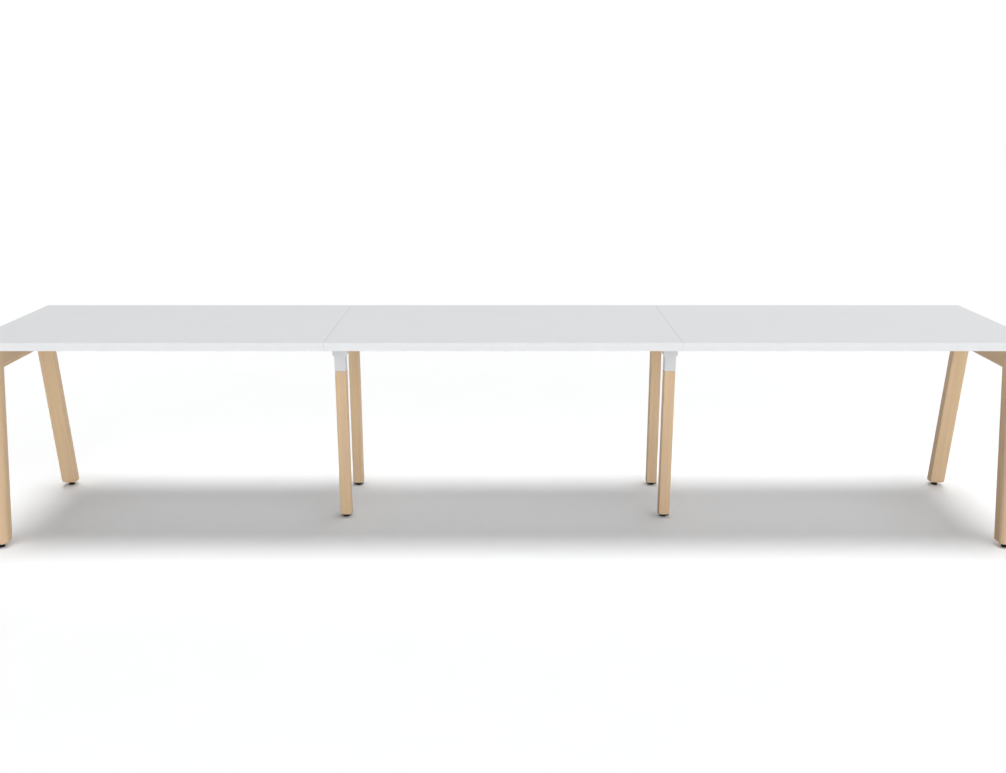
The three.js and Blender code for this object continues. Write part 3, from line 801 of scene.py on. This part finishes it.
def make_seam_plate(side):
    node = f"seam_plate_{side}"
    low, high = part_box(node)
    centre = ((low.x + high.x) / 2, (low.y + high.y) / 2)
    section = rounded_rect(high.x - low.x, high.y - low.y, 8 * MM)
    plate = new_piece(f"{node}_flat", *prism("Z", centre, section, low.z, high.z, 0.5 * MM, 2))
    dress(plate, "light_steel", node=node)
    margin = 30 * MM
    screws = []
    for offset in (-58 * MM, 58 * MM):
        for step in range(5):
            y = low.y + margin + step * (high.y - low.y - 2 * margin) / 4
            if abs(abs(y) - RAIL_OFFSET) > 45 * MM:
                screws.append(aim(pan_screw(22 * MM), (centre[0] + offset, y, low.z), (0, 0, -1)))
    dress(join(f"seam_plate_screws_{side}", screws), "zinc_steel")


# Feet

def make_insert(name, flanged):
    node = f"insert_{name}"
    low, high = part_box(node)
    place = ((low.x + high.x) / 2, (low.y + high.y) / 2, 0)
    bore = STUD_RADIUS + GAP
    ease = 0.5 * MM
    levels = [(low.z + ease, bore), (low.z, bore + ease)]
    if flanged:
        flange = 12 * MM
        top = low.z + 4.4 * MM
        levels += [(low.z, flange - 1.2 * MM), (low.z + 0.35 * MM, flange - 0.35 * MM)]
        levels += [(low.z + 1.2 * MM, flange), (top - 0.3 * MM, flange), (top, flange - 0.3 * MM)]
        levels += [(top, INSERT_RADIUS)]
    else:
        levels += [(low.z, INSERT_RADIUS - 0.4 * MM), (low.z + 0.4 * MM, INSERT_RADIUS)]
    levels += [(high.z - ease, INSERT_RADIUS), (high.z, INSERT_RADIUS - ease), (high.z, bore)]
    shape = aim(loft([ring(height, radius) for height, radius in levels], closed=True), place, (0, 0, 1))
    dress(new_piece(f"{node}_bush", *shape), "black_nylon" if flanged else "zinc_steel", node=node)


def make_glide(name):
    """A fluted disc with a spanner hexagon and a threaded stud."""
    node = f"glide_{name}"
    low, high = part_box(node)
    place = ((low.x + high.x) / 2, (low.y + high.y) / 2, 0)
    disc = (high.x - low.x) / 2
    grip = lobed(disc, 24, 0.5 * MM)
    sides = hexagon(GLIDE_HEXAGON)
    levels = [(0.3, disc - 4 * MM), (0, disc - 3.4 * MM), (0, disc - 1.4 * MM), (0.4, disc - 0.4 * MM)]
    levels += [(1.2, grip), (3.2, grip), (3.9, disc - 0.6 * MM), (4.4, disc - 2.2 * MM)]
    levels += [(4.9, 7.6 * MM), (5.0, sides), (7.6, sides), (8, 6.1 * MM)]
    base = aim(loft([ring(height * MM, radius, 96) for height, radius in levels]), place, (0, 0, 1))
    samples = 8
    last = round((high.z - GLIDE_TOP) / THREAD_PITCH * samples)
    thread = []
    for step in range(last + 1):
        height = GLIDE_TOP - 0.2 * MM + step * THREAD_PITCH / samples
        fade = min(1, (last - step) / samples)
        thread.append(ring(min(height, high.z), thread_radius(step / samples, fade), 24))
    stud = aim(loft(thread), place, (0, 0, 1))
    dress(join(f"{node}_foot", [base, stud]), "black_nylon", body=node, node=node)


def thread_radius(phase, fade):
    """One level of a thread, as a function of the angle. The phase is in turns. Fade 0 leaves the core."""
    def at(turn):
        saw = abs(((phase - turn / (2 * math.pi)) % 1) * 2 - 1)
        return STUD_RADIUS - THREAD_DEPTH * (1 - saw * fade)
    return at


for bay in BAYS:
    make_worktop(bay)
    for end, _ in ENDS:
        make_rail(bay, end)
        make_rail_fixings(bay, end)
for seed, (side, sign) in enumerate(SIDES):
    make_crossbar(side, 40 + seed)
    make_end_bracket(side, sign)
    make_crossbeam(side)
    make_seam_plate(side)
for seed, (side, sign, end, end_sign) in enumerate(CORNERS):
    make_end_leg(side, end, end_sign, 60 + seed)
    make_post(side, sign, end, 80 + seed)
    make_post_head(side, sign, end)
    make_foot_cap(side, end)
    for kind, flanged in (("end", True), ("post", False)):
        make_insert(f"{kind}_{side}_{end}", flanged)
        make_glide(f"{kind}_{side}_{end}")


# Floor, light and camera

def make_floor():
    half = 40
    corners = [(-half, -half, 0), (half, -half, 0), (half, half, 0), (-half, half, 0)]
    floor = new_piece("floor", corners, [(0, 1, 2, 3)])
    paint = Paint("floor", Specular_IOR_Level=0.0, Roughness=1.0)
    mottle = paint.noise(paint.place(), 4, 2)
    paint.colour(paint.mix(paint.span(mottle, 0.3, 0.7), (0.984, 0.988, 0.992, 1), (0.992, 0.996, 1, 1)))
    # Clear from below, so that a view from under the table shows its underside
    clear = paint.node("BsdfTransparent")
    below = paint.node("NewGeometry").outputs["Backfacing"]
    both = paint.node("MixShader", _0=below, _1=paint.shader.outputs[0], _2=clear.outputs[0])
    paint.feed(paint.tree.nodes["Material Output"].inputs["Surface"], both.outputs[0])
    floor.data.materials.append(paint.material)


def make_sun():
    """Straight above, wide enough for the soft edge of the shadow under the worktops."""
    light = bpy.data.lights.new("overhead", "SUN")
    light.energy = SUN_STRENGTH
    light.angle = SUN_ANGLE
    lamp = bpy.data.objects.new("overhead", light)
    lamp.location = (0, 0, 4)
    bpy.context.scene.collection.objects.link(lamp)


def make_sky():
    """Soft light from the front, rear and right, low enough to pass under the worktops."""
    world = bpy.data.worlds.new("studio")
    bpy.context.scene.world = world
    world.use_nodes = True
    tree = world.node_tree
    tree.nodes.clear()

    def node(kind, *values, **settings):
        made = tree.nodes.new("ShaderNode" + kind)
        for name, value in settings.items():
            setattr(made, name, value)
        for index, value in enumerate(values):
            if isinstance(value, bpy.types.NodeSocket):
                tree.links.new(value, made.inputs[index])
            else:
                made.inputs[index].default_value = value
        return made.outputs[0]

    def math_node(operation, *values):
        return node("Math", *values, operation=operation)

    split = tree.nodes.new("ShaderNodeSeparateXYZ")
    tree.links.new(tree.nodes.new("ShaderNodeTexCoord").outputs["Generated"], split.inputs[0])
    x, y, z = split.outputs
    ahead = math_node("MULTIPLY", y, -math.cos(SKY_TURN))
    ahead = math_node("MULTIPLY_ADD", x, math.sin(SKY_TURN), ahead)

    def patch(way, focus, levels, strength, others):
        toward = math_node("POWER", math_node("MAXIMUM", way, 0.0), focus)
        lit = math_node("MULTIPLY", toward, node("MapRange", z, *levels, 0.0, 1.0))
        return math_node("MULTIPLY_ADD", lit, strength, others)

    amount = patch(ahead, 6.0, FRONT_LEVELS, SKY_FRONT, 0.0)
    amount = patch(y, 2.0, SIDE_LEVELS, SKY_REAR, amount)
    amount = patch(x, 1.0, SIDE_LEVELS, SKY_RIGHT, amount)
    light = node("Background", (1, 1, 1, 1), amount)
    seen = node("Background", (1, 1, 1, 1), BACKDROP)
    path = tree.nodes.new("ShaderNodeLightPath").outputs["Is Camera Ray"]
    output = tree.nodes.new("ShaderNodeOutputWorld")
    tree.links.new(node("MixShader", path, light, seen), output.inputs[0])


def make_camera():
    lens = bpy.data.cameras.new("camera")
    lens.sensor_width = 36
    lens.lens = CAMERA_LENS
    lens.shift_x, lens.shift_y = CAMERA_SHIFT
    lens.clip_end = 200
    camera = bpy.data.objects.new("camera", lens)
    camera.location = CAMERA_PLACE
    camera.rotation_euler = (CAMERA_TILT, 0, 0)
    bpy.context.scene.collection.objects.link(camera)
    bpy.context.scene.camera = camera


make_floor()
make_sun()
make_sky()
make_camera()
bpy.context.scene.view_settings.view_transform = "Standard"
